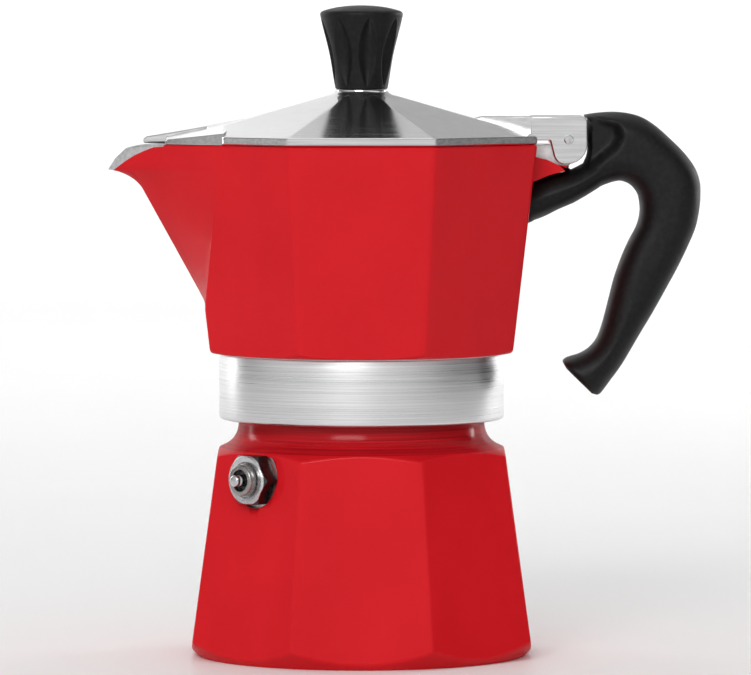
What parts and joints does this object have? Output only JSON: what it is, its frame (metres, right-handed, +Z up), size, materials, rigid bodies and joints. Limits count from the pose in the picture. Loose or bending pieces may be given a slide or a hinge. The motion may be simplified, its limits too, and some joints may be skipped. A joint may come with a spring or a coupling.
{
  "type": "moka pot",
  "caption": "Stovetop moka pot: octagonal red boiler and upper chamber joined by a screw thread, hinged faceted lid with knob, side handle and pouring spout.",
  "frame": {"origin": "centre of the boiler's base, on the surface that the pot stands on", "axes": "+Z up along the pot's axis, +X towards the handle and -X towards the spout"},
  "size_m": [0.1541, 0.0904, 0.169],
  "materials": {
    "red_enamel": "gloss",
    "red_enamel_and_cast": "gloss",
    "polished_aluminium": "brushed",
    "spun_aluminium": "satin",
    "black_thermoset": "satin",
    "steel": "satin",
    "brass": "satin",
    "nickel_brass": "gloss",
    "fibre_washer": "matte",
    "seal_rubber": "matte",
    "gasket_rubber": "matte"
  },
  "bodies": {
    "base": {"boiler": "red_enamel", "valve_body": "nickel_brass", "valve_washer": "fibre_washer", "valve_cap": "nickel_brass"},
    "valve_plunger": {"valve_piston": "steel", "valve_seal": "seal_rubber", "valve_spring": "steel"},
    "funnel_insert": {"funnel": "spun_aluminium", "funnel_filter": "spun_aluminium"},
    "jug": {"upper_chamber": "red_enamel_and_cast", "gasket": "gasket_rubber", "filter_plate": "spun_aluminium", "handle": "black_thermoset", "handle_screw": "steel", "hinge_pin": "steel"},
    "lid_and_knob": {"lid": "polished_aluminium", "knob": "black_thermoset", "knob_insert": "brass", "knob_washer": "steel", "knob_screw": "steel"}
  },
  "joints": [
    {"name": "funnel_lift", "type": "slide", "parent": "base", "child": "funnel_insert", "axis": [0, 0, 1], "range_m": [0, 0.0091]},
    {"name": "top_unscrew", "type": "hinge", "parent": "funnel_insert", "child": "jug", "pos_m": [0, 0, 0.066], "axis": [0, 0, 1], "range_deg": [0, 1080]},
    {"name": "lid_hinge", "type": "hinge", "parent": "jug", "child": "lid_and_knob", "pos_m": [0.0536, 0, 0.1343], "axis": [0, 1, 0], "range_deg": [0, 100]},
    {"name": "valve_lift", "type": "slide", "parent": "base", "child": "valve_plunger", "axis": [-0.7071, -0.7071, 0], "range_m": [0, 0.0015], "stiffness_N_per_m": 1300, "springref_m": -0.0015, "deforming": ["valve_spring"]}
  ],
  "couplings": [
    {"joint": "funnel_lift", "follows": "top_unscrew", "m_per_rad": 0.00047746}
  ]
}
